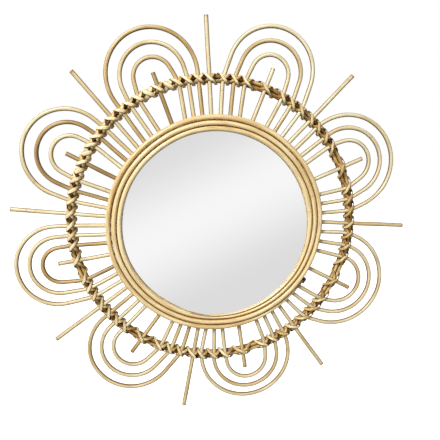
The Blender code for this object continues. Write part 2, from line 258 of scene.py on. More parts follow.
def reach_in(point, direction):
    """Back along a cane from a point outside the rings to its end at FOOT_RADIUS."""
    b = point.dot(direction)
    c = point.length_squared - FOOT_RADIUS ** 2
    return point - direction * (b - math.sqrt(b * b - c))


def straight(foot_bearing, tip_bearing, overhang):
    """The two ends of a ray or a short stick."""
    foot = polar(RIM_RADIUS, foot_bearing)
    tip = polar(HOOP_RADIUS * (1.0 + overhang), tip_bearing)
    return [reach_in(foot, (tip - foot).normalized()), tip]


def leg_bearing(petal, layer, side):
    """Legs stand beside the long rays: the outermost arch's next to the ray, then inwards."""
    place = len(LAYERS) - layer
    if side > 0:
        turn = 360.0 if petal == 0 else 0.0
        return RAYS[petal - 1][0] + turn - RAYS[petal - 1][4] * place
    return RAYS[petal][0] + RAYS[petal][3] * place


def hoop_angle(points, off):
    """Where a cane is off from the hoop's middle line: its angle about the hoop's centre."""
    centre = Vector(HOOP_CENTRE)
    radius = HOOP_RADIUS + off
    inside, outside = next(pair for pair in zip(points, points[1:]) if (pair[1] - centre).length > radius)
    start = inside - centre
    run = (outside - inside).normalized()
    b = start.dot(run)
    c = start.length_squared - radius ** 2
    hit = start + run * (-b + math.sqrt(b * b - c))
    return math.atan2(hit.y, hit.x)


def knee_bearing(petal, layer, side):
    """The bearing about the hoop's centre at which a leg is lashed to the hoop."""
    ray = petal - 1 if side > 0 else petal
    spacing = RAYS[ray][6] if side > 0 else RAYS[ray][5]
    room = spacing * (len(LAYERS) - layer) + RAY_ROOM
    return math.degrees(hoop_angle(straight(*RAYS[ray][:3]), 0.0)) - side * room


def touch(point, centre, size, side):
    """Where a straight leg from a point runs into a round top."""
    aim = centre - point
    turn = math.atan2(aim.y, aim.x) + side * math.asin(size / aim.length)
    return point + Vector((math.cos(turn), math.sin(turn))) * math.sqrt(aim.length_squared - size ** 2)


def eased(before, corner, after):
    """A leg's bend at the hoop, drawn as a smooth curve through KNEE_EASE each way."""
    one = corner + (before - corner).normalized() * KNEE_EASE
    two = corner + (after - corner).normalized() * min(KNEE_EASE, KNEE_SHARE * (after - corner).length)
    steps = [i / KNEE_STEPS for i in range(KNEE_STEPS + 1)]
    return [one * (1.0 - t) ** 2 + corner * 2.0 * t * (1.0 - t) + two * t * t for t in steps]


def arch(petal, layer):
    """An arch's middle line: two legs that run out to the hoop, bend, and run into a round top.
    A leg whose place on the hoop lies within the sweep of its round top isn't bent there."""
    bearing, beyond, rise, radius, step, _ = PETALS[petal]
    centre = polar(HOOP_RADIUS * (1.0 + beyond + rise * layer), bearing)
    size = HOOP_RADIUS * (radius + step * layer)
    legs = []
    for side in (1, -1):
        foot = polar(RIM_RADIUS, leg_bearing(petal, layer, side))
        knee = polar(HOOP_RADIUS, knee_bearing(petal, layer, side), HOOP_CENTRE)
        if (knee - centre).length > KNEE_ROOM * size:
            meet = touch(knee, centre, size, side)
            start = reach_in(foot, (knee - foot).normalized())
            legs.append([start] + eased(start, knee, meet) + [meet])
        else:
            meet = touch(foot, centre, size, side)
            legs.append([reach_in(foot, (meet - foot).normalized()), meet])
    start, stop = [math.atan2((leg[-1] - centre).y, (leg[-1] - centre).x) for leg in legs]
    while stop > start:
        stop -= 2.0 * math.pi
    bends = round((start - stop) * size / CANE_STEP)
    arc = [start + (stop - start) * i / bends for i in range(bends + 1)]
    top = [centre + Vector((math.cos(a), math.sin(a))) * size for a in arc]
    return legs[0][:-1] + top + legs[1][:-1][::-1]


def divided(points):
    """The same line with no stretch of it much longer than CANE_STEP."""
    made = [points[0]]
    for one, two in zip(points, points[1:]):
        parts = max(1, round((two - one).length / CANE_STEP))
        made += [one.lerp(two, (i + 1) / parts) for i in range(parts)]
    return made


# The tree that makes a cane from its middle line. The line is a run of bare edges whose points
# carry: out, the way its front faces; along, metres along the cane; tone; and wide, how many times
# its width it is there. The cane keeps tone and cane_co, which is where a point lies in the cane
# itself, in metres along it, outwards and across. Flat Back is how far back its section reaches, from
# -1 or less for a whole round to 0 for half of one.
sweep = bpy.data.node_groups.new("sweep_a_cane", "GeometryNodeTree")
for socket_name, kind in (("Line", "Geometry"), ("Width", "Float"), ("Thickness", "Float"), ("Sides", "Int"),
                          ("Flat Back", "Float"), ("Wander", "Float"), ("Swell", "Float"),
                          ("Material", "Material"), ("End Material", "Material")):
    sweep.interface.new_socket(socket_name, in_out="INPUT", socket_type="NodeSocket" + kind)
sweep.interface.new_socket("Cane", in_out="OUTPUT", socket_type="NodeSocketGeometry")
WANDER_LENGTH = 0.07      # metres over which a cane wanders off its line,
SWELL_LENGTH = 0.045      # and over which it swells and thins
given = put(sweep, "NodeGroupInput").outputs
carried = {}
for name, kind in (("out", "FLOAT_VECTOR"), ("along", "FLOAT"), ("tone", "FLOAT"), ("wide", "FLOAT")):
    named = put(sweep, "GeometryNodeInputNamedAttribute", {"Name": name}, data_type=kind)
    carried[name] = named.outputs["Attribute"]
line = put(sweep, "GeometryNodeMeshToCurve", {"Mesh": given["Line"]})
here = put(sweep, "GeometryNodeInputPosition").outputs[0]
shifted = put(sweep, "ShaderNodeVectorMath", {0: here, 1: (1.0 / WANDER_LENGTH,) * 3, 2: carried["tone"]},
              operation="MULTIPLY_ADD")
drift = put(sweep, "ShaderNodeTexNoise", {"Vector": shifted.outputs[0], "Scale": 1.0, "Detail": 1.0})
centred = put(sweep, "ShaderNodeVectorMath", {0: drift.outputs["Color"], 1: (0.5, 0.5, 0.5)},
              operation="SUBTRACT")
sway = put(sweep, "ShaderNodeVectorMath", {0: centred.outputs[0], "Scale": given["Wander"]},
           operation="SCALE")
bent = put(sweep, "GeometryNodeSetPosition", {"Geometry": line.outputs[0], "Offset": sway.outputs[0]})
faced = put(sweep, "GeometryNodeSetCurveNormal", {"Curve": bent.outputs[0], "Normal": carried["out"]},
            mode="FREE")
lumps = put(sweep, "ShaderNodeMath", {0: carried["along"], 1: 1.0 / SWELL_LENGTH}, operation="MULTIPLY")
swollen = put(sweep, "ShaderNodeTexNoise", {"W": lumps.outputs[0], "Scale": 1.0, "Detail": 1.0},
              noise_dimensions="1D")
lump = put(sweep, "ShaderNodeMath", {0: swollen.outputs["Fac"], 1: 0.5}, operation="SUBTRACT")
girth = put(sweep, "ShaderNodeMath", {0: lump.outputs[0], 1: given["Swell"], 2: carried["wide"]},
            operation="MULTIPLY_ADD")
ring = put(sweep, "GeometryNodeCurvePrimitiveCircle", {"Resolution": given["Sides"], "Radius": 1.0})
spot = put(sweep, "ShaderNodeSeparateXYZ", {0: here})
flat = put(sweep, "ShaderNodeMath", {0: spot.outputs["X"], 1: given["Flat Back"]}, operation="MAXIMUM")
half_thick = put(sweep, "ShaderNodeMath", {0: given["Thickness"], 1: 0.5}, operation="MULTIPLY")
half_wide = put(sweep, "ShaderNodeMath", {0: given["Width"], 1: 0.5}, operation="MULTIPLY")
outwards = put(sweep, "ShaderNodeMath", {0: flat.outputs[0], 1: half_thick.outputs[0]}, operation="MULTIPLY")
across = put(sweep, "ShaderNodeMath", {0: spot.outputs["Y"], 1: half_wide.outputs[0]}, operation="MULTIPLY")
spread = put(sweep, "ShaderNodeCombineXYZ", {"X": outwards.outputs[0], "Y": across.outputs[0]})
shaped = put(sweep, "GeometryNodeSetPosition", {"Geometry": ring.outputs[0], "Position": spread.outputs[0]})
profile = put(sweep, "GeometryNodeStoreNamedAttribute",
              {"Geometry": shaped.outputs[0], "Name": "around", "Value": here},
              data_type="FLOAT_VECTOR", domain="POINT")
tube = put(sweep, "GeometryNodeCurveToMesh", {"Curve": faced.outputs[0], "Profile Curve": profile.outputs[0],
                                              "Scale": girth.outputs[0], "Fill Caps": True})
around = put(sweep, "GeometryNodeInputNamedAttribute", {"Name": "around"}, data_type="FLOAT_VECTOR")
split = put(sweep, "ShaderNodeSeparateXYZ", {0: around.outputs["Attribute"]})
inside = put(sweep, "ShaderNodeCombineXYZ", {"X": carried["along"], "Y": split.outputs["X"],
                                             "Z": split.outputs["Y"]})
placed = put(sweep, "GeometryNodeStoreNamedAttribute",
             {"Geometry": tube.outputs[0], "Name": "cane_co", "Value": inside.outputs[0]},
             data_type="FLOAT_VECTOR", domain="POINT")
corners = put(sweep, "GeometryNodeInputMeshFaceNeighbors").outputs["Vertex Count"]
end = put(sweep, "FunctionNodeCompare", {2: corners, 3: 4},
          data_type="INT", operation="GREATER_THAN").outputs[0]
side = put(sweep, "FunctionNodeBooleanMath", {0: end}, operation="NOT").outputs[0]
smooth = put(sweep, "GeometryNodeSetShadeSmooth", {"Geometry": placed.outputs[0], "Shade Smooth": side})
last = smooth.outputs[0]
for spent in ("around", "out", "along", "wide"):
    last = put(sweep, "GeometryNodeRemoveAttribute", {"Geometry": last, "Name": spent}).outputs[0]
real = put(sweep, "GeometryNodeRealizeInstances", {"Geometry": last})
coated = put(sweep, "GeometryNodeSetMaterial", {"Geometry": real.outputs[0], "Material": given["Material"]})
ended = put(sweep, "GeometryNodeSetMaterial", {"Geometry": coated.outputs[0], "Selection": end,
                                               "Material": given["End Material"]})
put(sweep, "NodeGroupOutput", {"Cane": ended.outputs[0]})

used_cane = 0.0           # metres used so far of the long cane that all are cut from,
CANE_BETWEEN = 0.37       # of which this much is left out between two


def swept(name, lines, **inputs):
    """Canes or strips made by the tree. A line has points in metres and a tone, and may have out,
    wide and closed. The canes' lengths follow on, as if all were cut from one long cane."""
    global used_cane
    mesh = bpy.data.meshes.new(name)
    verts, edges = [], []
    carried_values = {"out": [], "along": [], "tone": [], "wide": []}
    for one in lines:
        points = one["points"]
        first = len(verts)
        verts += points
        edges += [(first + i, first + i + 1) for i in range(len(points) - 1)]
        if one.get("closed"):
            edges.append((len(verts) - 1, first))
        place = used_cane
        for i, point in enumerate(points):
            place += (point - points[i - 1]).length if i else 0.0
            carried_values["along"].append(place)
        used_cane = place + CANE_BETWEEN
        count = len(points)
        carried_values["out"] += one.get("out") or [Vector((0.0, -1.0, 0.0))] * count
        carried_values["tone"] += one["tone"] if isinstance(one["tone"], list) else [one["tone"]] * count
        carried_values["wide"] += one.get("wide") or [1.0] * count
    mesh.from_pydata(verts, edges, [])
    for key, values in carried_values.items():
        vector = key == "out"
        layer = mesh.attributes.new(key, "FLOAT_VECTOR" if vector else "FLOAT", "POINT")
        flat_values = [c for v in values for c in v] if vector else values
        layer.data.foreach_set("vector" if vector else "value", flat_values)
    made = show(name, mesh)
    modifier = made.modifiers.new("sweep", "NODES")
    modifier.node_group = sweep
    for item in sweep.interface.items_tree:
        if item.in_out == "INPUT" and item.name.replace(" ", "_") in inputs:
            modifier[item.identifier] = inputs[item.name.replace(" ", "_")]
    graph = bpy.context.evaluated_depsgraph_get()
    baked = bpy.data.meshes.new_from_object(made.evaluated_get(graph), preserve_all_data_layers=True,
                                            depsgraph=graph)
    made.modifiers.clear()
    made.data = baked
    baked.name = name
    return made


FIBRE = (0.026, 0.0008, 0.0008)    # metres along a cane and across it
PATCH = (0.055, 0.007, 0.007)
PATCH_DRIFT = 0.22                 # how far a patch's tone is off its cane's
SCAR_SPACING = 0.6                 # metres between the old leaf scars,
SCAR_REACH = (0.0008, 0.003)       # and shares of that over which a scar's trace fades,
SCAR_STRENGTH = 0.4                # from this strength


def rattan(name, width, tones, fibre_dark, mark, roughness, relief_depth, side_shade_colour, side_shade_start,
           shaded_groove_radii=()):
    """Peeled or split rattan: a satin skin whose straw colour drifts along and from cane to cane,
    with fine fibres along it, pores drawn out lengthwise, and a darker trace at each old leaf scar.
    Towards its two sides it is darker: painted shade on a cane, and on a strip both painted shade and the
    pith at its split edges;
    given the radii between which a spiral's grooves lie, that painted shade falls only in those grooves."""
    made, tree = new_material(name)
    co = put(tree, "ShaderNodeAttribute", attribute_name="cane_co").outputs["Vector"]
    tone = put(tree, "ShaderNodeAttribute", attribute_name="tone").outputs["Fac"]
    fine = put(tree, "ShaderNodeMapping", {"Vector": co, "Scale": [1.0 / size for size in FIBRE]})
    fibre = put(tree, "ShaderNodeTexNoise", {"Vector": fine.outputs[0], "Scale": 1.0, "Detail": 3.0,
                                             "Roughness": 0.65}).outputs["Fac"]
    broad = put(tree, "ShaderNodeMapping", {"Vector": co, "Scale": [1.0 / size for size in PATCH]})
    patch = put(tree, "ShaderNodeTexNoise", {"Vector": broad.outputs[0], "Scale": 1.0, "Detail": 2.0})
    drift = put(tree, "ShaderNodeMapRange", {"Value": patch.outputs["Fac"], "From Min": 0.3, "From Max": 0.7,
                                             "To Min": -PATCH_DRIFT, "To Max": PATCH_DRIFT}).outputs[0]
    level = put(tree, "ShaderNodeMath", {0: tone, 1: drift}, operation="ADD", use_clamp=True).outputs[0]
    skin = ramp(tree, level, tones)
    dark = ramp(tree, fibre, [(0.30, fibre_dark), (0.52, "#ffffff")])
    streaked = put(tree, "ShaderNodeMix", {0: 0.75, 6: skin, 7: dark},
                   data_type="RGBA", blend_type="MULTIPLY")
    split = put(tree, "ShaderNodeSeparateXYZ", {0: co}).outputs
    length = split["X"]
    off_middle = put(tree, "ShaderNodeMath", {0: split["Z"]}, operation="ABSOLUTE").outputs[0]
    half = width * MM / 2.0
    # edge is painted shade, darkening the colour across the outer part of the section towards its sides.
    edge = put(tree, "ShaderNodeMapRange", {"Value": off_middle, "From Min": side_shade_start * half,
                                            "From Max": half}, interpolation_type="SMOOTHSTEP").outputs[0]
    # For a spiral the painted shade is kept only between the groove radii.
    if shaded_groove_radii:
        place = put(tree, "ShaderNodeTexCoord").outputs["Object"]
        flat = put(tree, "ShaderNodeVectorMath", {0: place, 1: (1.0, 0.0, 1.0)}, operation="MULTIPLY")
        radius = put(tree, "ShaderNodeVectorMath", {0: flat.outputs[0]}, operation="LENGTH").outputs["Value"]
        middle = (shaded_groove_radii[0] + shaded_groove_radii[1]) / 2.0 * MM
        side = put(tree, "ShaderNodeMath", {0: radius, 1: middle}, operation="SUBTRACT")
        off = put(tree, "ShaderNodeMath", {0: side.outputs[0]}, operation="ABSOLUTE").outputs[0]
        inside = (shaded_groove_radii[1] - shaded_groove_radii[0]) / 2.0 * MM
        within = put(tree, "ShaderNodeMath", {0: off, 1: inside}, operation="LESS_THAN").outputs[0]
        edge = put(tree, "ShaderNodeMath", {0: edge, 1: within}, operation="MULTIPLY").outputs[0]
    scar_place = put(tree, "ShaderNodeMath", {0: length, 1: 1.0 / SCAR_SPACING}, operation="MULTIPLY")
    scar = put(tree, "ShaderNodeTexVoronoi", {"W": scar_place.outputs[0], "Scale": 1.0, "Randomness": 0.8},
               voronoi_dimensions="1D", feature="F1").outputs["Distance"]
    near = put(tree, "ShaderNodeMapRange", {"Value": scar, "From Min": SCAR_REACH[0],
                                            "From Max": SCAR_REACH[1], "To Min": SCAR_STRENGTH,
                                            "To Max": 0.0}).outputs[0]
    marked = put(tree, "ShaderNodeMix", {0: near, 6: streaked.outputs[2], 7: linear(mark)}, data_type="RGBA")
    # The painted side shade is multiplied into the colour here.
    side_shaded = put(tree, "ShaderNodeMix", {0: edge, 6: marked.outputs[2], 7: linear(side_shade_colour)},
                data_type="RGBA", blend_type="MULTIPLY")
    satin = put(tree, "ShaderNodeMapRange", {"Value": fibre, "From Min": 0.3, "From Max": 0.7,
                                             "To Min": roughness + 0.1, "To Max": roughness - 0.05})
    relief = put(tree, "ShaderNodeBump", {"Height": fibre, "Strength": 0.5, "Distance": relief_depth})
    shade(tree, Base_Color=side_shaded.outputs[2], Roughness=satin.outputs[0], Normal=relief.outputs[0])
    return made


# Peeled rattan, sanded: cream to light brown from cane to cane, with a low satin sheen, darker at both sides
# as painted shade.
peeled = rattan("peeled_rattan_cane", CANE_SHOWN,
                [(0.0, "#e6dcb8"), (0.35, "#dcca9c"), (0.65, "#c4a66c"), (1.0, "#9c7c45")],
                fibre_dark="#a88a58", mark="#a07c4a", roughness=0.40, relief_depth=0.00012,
                side_shade_colour="#84652f", side_shade_start=0.52)

# A sawn end of rattan: darker than the skin, with open pores a third of a millimetre wide.
PORE_SPACING = 0.0007     # metres
cut_end, tree = new_material("cut_rattan_end")
place = put(tree, "ShaderNodeTexCoord").outputs["Object"]
pores = put(tree, "ShaderNodeTexVoronoi", {"Vector": place, "Scale": 1.0 / PORE_SPACING}).outputs["Distance"]
shade(tree, Base_Color=ramp(tree, pores, [(0.15, "#6f4d29"), (0.45, "#b08a56")]), Roughness=0.8)


END_BROWN = 0.6            # how much browner the last few millimetres are at a sawn end
WHOLE_ROUND = -2.0         # Flat Back for a round cane


def laid(points, tone):
    """A cane of the flower. Its last few millimetres have browned from the sawn ends inwards."""
    along = divided(points)
    tones = [tone] * len(along)
    tones[0] = tones[-1] = min(1.0, tone + END_BROWN)
    return {"points": [Vector((p.x * MM, CANE_Y * MM, p.y * MM)) for p in along], "tone": tones}


cane_sizes = {"Width": CANE_SHOWN * MM, "Thickness": CANE_SHOWN * MM, "Sides": CANE_SIDES,
              "Flat_Back": WHOLE_ROUND, "Wander": 0.0012, "Swell": 0.10, "Material": peeled,
              "End_Material": cut_end}
middle_lines = []
lines = []
for ray in RAYS:
    ends = straight(*ray[:3])
    middle_lines.append(ends)
    lines.append(laid(ends, ray[-1]))
rays = swept("long_rays", lines, **cane_sizes)
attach(rays, "root")
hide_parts(*["long_ray_%d" % i for i in range(len(RAYS))])

for number, (foot_bearing, tip_bearing, overhang, tone) in enumerate(STICKS):
    ends = straight(foot_bearing, tip_bearing, overhang)
    middle_lines.append(ends)
    lines = [laid(ends, tone)]
    for layer in range(len(LAYERS)):
        points = arch(number, layer)
        middle_lines += [points, points[::-1]]
        lines.append(laid(points, PETALS[number][5][layer]))
    petal = swept("petal_%d" % number, lines, **cane_sizes)
    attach(petal, "root")
    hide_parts("short_stick_%d" % number, *["arch_%d_%s" % (number, name) for name in LAYERS])


# The hoop is two more canes bent into circles, side by side behind the flower, left a browner
# straw; where the lashing crowds over them the outer is painted dark as shade, the inner pale as a
# highlight.
CORE = 6.0
CORE_Y = -6.2
CORE_OFFSET = 3.15
CORE_SHOWN = 6.35
CORE_POINTS = 360
CORE_TONES = (0.10, 0.45, 0.45, 0.30, 0.20, 0.40, 0.35, 0.10)    # in the wide gaps of each petal
INNER_HIGHLIGHT_TONE = 0.12         # between close canes, on the inner core, painted pale as a highlight
CROWDED_SHADE_TONES = (0.50, 0.66, 0.74, 0.60, 0.62, 0.55, 0.40, 0.12)    # and on the outer one, painted dark as shade
CROWDED_ROOM = 20.0       # how far apart two canes are at most that crowd the lashing,
WIDE_ROOM = 26.0          # and at least where nothing does
RIGHT_TONE = 0.30         # how much browner the lashing is at the right,
RIGHT_PALER = 0.5         # and the share of that by which the painted shade on the outer core is paler there
RIGHT_BEARING = -10.0
LEFT_BEARING = 145.0
CROSSING_REACH = 8.0


def crossing(points):
    """A cane's angle at the hoop, and how far it moves along the hoop for each millimetre
    outwards, just inside the hoop and just outside it."""
    angle = hoop_angle(points, 0.0)
    moved = [math.remainder(hoop_angle(points, off) - angle, 2.0 * math.pi)
             for off in (-CROSSING_REACH, CROSSING_REACH)]
    return angle, -moved[0] * HOOP_RADIUS / CROSSING_REACH, moved[1] * HOOP_RADIUS / CROSSING_REACH


crossings = sorted(crossing(points) for points in middle_lines)

# Rattan with some of its skin on: straw where it lies open, running to dark brown for the painted shade
# where it is crowded, and darker at both sides as painted shade.
core_skin = rattan("brown_core_cane", CORE_SHOWN,
                   [(0.0, "#e2cc94"), (0.3, "#ceae6c"), (0.55, "#ae8744"), (0.8, "#7a4d15"),
                    (1.0, "#3c2008")],
                   fibre_dark="#8a6636", mark="#5a3a1c", roughness=0.42, relief_depth=0.00015,
                   side_shade_colour="#8a6128", side_shade_start=0.45)


def right_share(angle):
    """1 at the right of the hoop, and 0 above, below and at its left."""
    return max(0.0, math.cos(angle - math.radians(RIGHT_BEARING)))


def left_share(angle):
    """1 at the upper left of the hoop, and 0 more than 60 degrees from there."""
    return max(0.0, 2.0 * math.cos(angle - math.radians(LEFT_BEARING)) - 1.0)


def core_tone(angle, outer):
    """Painted shade on the outer core and a painted highlight on the inner one between close canes, and its
    petal's own tone in a wide gap.
    """
    after = [(a - angle) % (2.0 * math.pi) for a, _, _ in crossings]
    room = (min(after) + 2.0 * math.pi - max(after)) * HOOP_RADIUS
    # How much of the painted shade (outer core) and painted highlight (inner core) applies, by how close the
    # canes are.
    painted_light_share = max(0.0, min(1.0, (WIDE_ROOM - room) / (WIDE_ROOM - CROWDED_ROOM)))
    bearing = math.degrees(angle)
    petal = min(range(len(PETALS)), key=lambda i: abs(math.remainder(bearing - PETALS[i][0], 360.0)))
    paler = RIGHT_PALER * RIGHT_TONE * right_share(angle)
    painted_light_tone = CROWDED_SHADE_TONES[petal] - paler if outer else INNER_HIGHLIGHT_TONE
    return CORE_TONES[petal] * (1.0 - painted_light_share) + painted_light_tone * painted_light_share


lines = []
for side in (-1, 1):
    radius = HOOP_RADIUS + side * CORE_OFFSET
    angles = [2.0 * math.pi * i / CORE_POINTS for i in range(CORE_POINTS)]
    points = [polar(radius, math.degrees(a), HOOP_CENTRE) for a in angles]
    lines.append({"points": [Vector((p.x * MM, CORE_Y * MM, p.y * MM)) for p in points], "closed": True,
                  "tone": [core_tone(a, side > 0) for a in angles]})
cores = swept("hoop_cores", lines, **dict(cane_sizes, Width=CORE_SHOWN * MM, Thickness=CORE_SHOWN * MM,
                                          Wander=0.0004, Material=core_skin))
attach(cores, "root")
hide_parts("hoop_core_inner", "hoop_core_outer")


# The lashing is two strips of split rattan peel, flat inside and rounded outside, each wound
# round the cores in the opposite way to the other, so that they cross over every cane of the flower.
PEEL_WIDTH = 4.6
PEEL_THICKNESS = 1.2
PEEL_OUTER = 7.2          # the most that a strip is off its cane where it turns over the outer edge,
PEEL_INNER = 14.0         # and over the inner edge
EXTRA_TURNS = (0, 7)      # petals beside whose short stick the strips also cross where no cane is
PEEL_CLEARANCE = 0.45
BARE_LIFT = 0.6           # how much farther off the hoop a strip is where no cane is below it
PEEL_LEAN = 20.0          # degrees forwards of sideways where a strip meets its core and turns round it
PEEL_SIDES = 10
PEEL_BACK = -0.4          # Flat Back for a strip
FALL_POWER = 2.6          # how long a strip stays high over its cane before it falls to the hoop's edge
TIGHT_POWER = 4.4         # and where the next cane is close
LOOP_FRONT = 9
LOOP_SIDE = 6
WIDE_TURN = 1.55          # how many times its width a strip is where no cane is below it,
WIDE_LEFT = 1.28          # and over the canes at the upper left, where the lashing is tightest
LIT_AND_SHADED_PEEL_TONES = (0.55, 0.10)    # of the lower strip, painted browner than the upper as shade, and of the upper one
TONE_SWING = 0.16         # how far a turn's tone is off that,
TONE_TURN = 2.4           # how many radians that swings on from a turn to the next,
TONE_PHASE = 1.7          # and how many it starts before or after its middle on each strip
BARE_TONE = 0.12          # a turn's tone where no cane is below it
INNER_SHADE_BROWN = 0.14        # how much browner a strip is where it turns over the hoop's inner edge, as painted warm shade

# The glossy outer peel of rattan, pale to brown by its tone; browner towards its split edges, partly the
# pith there and partly painted shade.
strip_skin = rattan("split_rattan_peel", PEEL_WIDTH,
                    [(0.0, "#f2e6be"), (0.35, "#e4ce95"), (0.65, "#c8a35a"), (1.0, "#966e30")],
                    fibre_dark="#a67f48", mark="#7b5a30", roughness=0.36, relief_depth=0.0001,
                    side_shade_colour="#8f682c", side_shade_start=0.62)


def strip(slant, level, turns_taken):
    """A strip wound once round for each turn. slant is +1 where it crosses from inside to outside;
    level is how many strips lie beneath it."""
    rise = PEEL_CLEARANCE + PEEL_THICKNESS * (0.5 + level)
    bend = CORE / 2.0 + rise
    lean = math.radians(PEEL_LEAN)
    edge = (CORE_OFFSET + bend * math.cos(lean), CORE_Y - bend * math.sin(lean))
    points, outs, tones, widths = [], [], [], []

    def add(angle, along, off, y, normal, tone, wide):
        here = angle + along / HOOP_RADIUS
        flat_point = polar(HOOP_RADIUS + slant * off, math.degrees(here), HOOP_CENTRE)
        points.append(Vector((flat_point.x, y, flat_point.y)) * MM)
        away = Vector((math.cos(here), math.sin(here))) * slant * normal[0]
        outs.append(Vector((away.x, normal[1], away.y)).normalized())
        # Where a strip turns over the inner edge it is painted browner, as warm shade.
        tones.append(tone + INNER_SHADE_BROWN if slant * off < -CORE_OFFSET else tone)
        widths.append(wide)

    count = len(turns_taken)
    for i, (angle, slope_inside, slope_outside, over_cane) in enumerate(turns_taken):
        slopes = (slope_inside, slope_outside)
        top = CANE_Y - CANE / 2.0 - rise if over_cane else CORE_Y - CORE / 2.0 - rise - BARE_LIFT
        room_before = (angle - turns_taken[i - 1][0]) % (2.0 * math.pi) * HOOP_RADIUS
        room_after = (turns_taken[(i + 1) % count][0] - angle) % (2.0 * math.pi) * HOOP_RADIUS
        # Each strip starts from its own tone, the lower one painted browner as shade.
        tone = LIT_AND_SHADED_PEEL_TONES[level] + TONE_SWING * math.sin(i * TONE_TURN + TONE_PHASE * slant)
        tone = tone + RIGHT_TONE * right_share(angle) if over_cane else BARE_TONE
        wide = 1.0 + (WIDE_LEFT - 1.0) * left_share(angle) if over_cane else WIDE_TURN
        halves = ((-1.0, room_before), (1.0, room_after))
        turn = []
        for sign, room in halves:
            reach = min(PEEL_OUTER if slant * sign > 0.0 else PEEL_INNER, room / 2.0)
            tight = (PEEL_INNER - reach) / (PEEL_INNER - CANE / 2.0) if over_cane else 0.0
            power = FALL_POWER + (TIGHT_POWER - FALL_POWER) * tight
            half = []
            for j in range(LOOP_FRONT + 1):
                t = j / LOOP_FRONT
                y = edge[1] + (top - edge[1]) * (1.0 - t ** power)
                fall = (edge[1] - top) * power * t ** (power - 1.0)
                normal = Vector((fall, -edge[0])) if t < 1.0 else Vector((math.cos(lean), -math.sin(lean)))
                normal.normalize()
                half.append((reach * t, edge[0] * t, y, normal))
            turns = [lean - (lean + math.pi / 2.0) * (j + 1) / LOOP_SIDE for j in range(LOOP_SIDE)]
            arc = bend * (lean + math.pi / 2.0)
            behind = arc + CORE_OFFSET
            for j, a in enumerate(turns):
                part = arc * (j + 1) / LOOP_SIDE / behind
                half.append((reach + (room / 2.0 - reach) * part, CORE_OFFSET + bend * math.cos(a),
                             CORE_Y - bend * math.sin(a), Vector((math.cos(a), -math.sin(a)))))
            turn.append([(sign * along, sign * off, y, Vector((sign * n.x, n.y)))
                         for along, off, y, n in half])
        for along, off, y, normal in turn[0][::-1] + turn[1][1:]:
            flat = slant * off
            add(angle, along + slopes[flat > 0.0] * flat, off, y, normal, tone, wide)
    return {"points": points, "out": outs, "tone": tones, "wide": widths, "closed": True}


turns_taken = [(*one, True) for one in crossings]
stick_places = [crossing(straight(*STICKS[number][:3]))[0] for number in EXTRA_TURNS]
for place in stick_places:
    near = sorted(crossings, key=lambda one: abs(math.remainder(one[0] - place, 2.0 * math.pi)))
    for beside in near[1:3]:
        half_way = place + math.remainder(beside[0] - place, 2.0 * math.pi) / 2.0
        turns_taken.append((math.remainder(half_way, 2.0 * math.pi), 0.0, 0.0, False))
turns_taken.sort()

for name, slant, level in (("binding_under", -1, 0), ("binding_over", 1, 1)):
    wound = swept(name + "_peel", [strip(slant, level, turns_taken)], Width=PEEL_WIDTH * MM,
                  Thickness=PEEL_THICKNESS * MM, Sides=PEEL_SIDES, Flat_Back=PEEL_BACK, Wander=0.0,
                  Swell=0.12, Material=strip_skin, End_Material=cut_end)
    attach(wound, "root")
    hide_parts(name)


# The rings are one long thicker cane, wound three times round in a spiral. It lies on the flower's
# feet and holds the glass down. At the lower right each turn moves in by a cane's width, and both
# ends of the cane are thinned there, so that four turns pass side by side for a short way.
RING_CANE = 7.9
RING_Y = -19.75
RING_SEAMS = (165.05, 156.85, 148.65, 140.45)    # radii of the rim, of the two grooves and of the sight
RING_GAP = 0.3
GROOVE_SHADE_MARGIN = 2.3       # how far in from the rim and from the sight the painted shade on the grooves' sides stops
RING_SIDES = 24
RING_STEP = 1.2           # degrees
LAST_TURN = 3             # the turns are 0, from the cane's outer end, to 3, a short one
SHIFT_BEARING = 15.0      # where a turn begins to move in,
SHIFT_SWEEP = 105.0       # and how many degrees clockwise from there it has done so
OUTER_END = 48.4          # degrees clockwise from there to the cane's outer end,
INNER_END = 109.0         # and to its inner end, three turns later
LAST_STEP = 4.2           # how far the third turn moves in beside the inner end
LAST_EASE = 25.0          # degrees past the inner end over which it moves in the rest of the way
END_SIGHT = 142.2         # the sight's radius beside the thinned inner end
RING_BENDS = ((130.0, -1.5), (198.0, 1.3))    # bearings where the cane runs off the round, and how far
BEND_SPREAD = 20.0
BROWN_END = 5.0           # degrees from its outer end over which the cane has browned
RING_TONES = (0.45, 0.35, 0.30, 0.30)

# Thick smooth rattan, sanded and varnished: warm straw with a clear sheen, with painted shade in the grooves
# between its turns.
ring_skin = rattan("thick_golden_cane", RING_CANE,
                   [(0.0, "#f2e2b8"), (0.35, "#e8d19c"), (0.65, "#d2b074"), (1.0, "#ad8a4e")],
                   fibre_dark="#b08c54", mark="#c09a60", roughness=0.30, relief_depth=0.00012,
                   side_shade_colour="#a8813e", side_shade_start=0.60,
                   shaded_groove_radii=(RING_SEAMS[-1] + GROOVE_SHADE_MARGIN, RING_SEAMS[0] - GROOVE_SHADE_MARGIN))


def seam(turn, gone):
    """The radius of the seam outside a turn, a number of degrees past SHIFT_BEARING."""
    if turn == 0:
        return RING_SEAMS[0]
    before = RING_SEAMS[turn - 1]
    if turn > LAST_TURN:
        return before + (END_SIGHT - before) * min(1.0, gone / LAST_EASE)
    step = before - RING_SEAMS[turn]
    share = min(1.0, gone / SHIFT_SWEEP)
    if turn < LAST_TURN:
        return before - step * share
    rest = max(0.0, min(1.0, (gone - INNER_END) / LAST_EASE))
    return before - LAST_STEP * share - (step - LAST_STEP) * rest


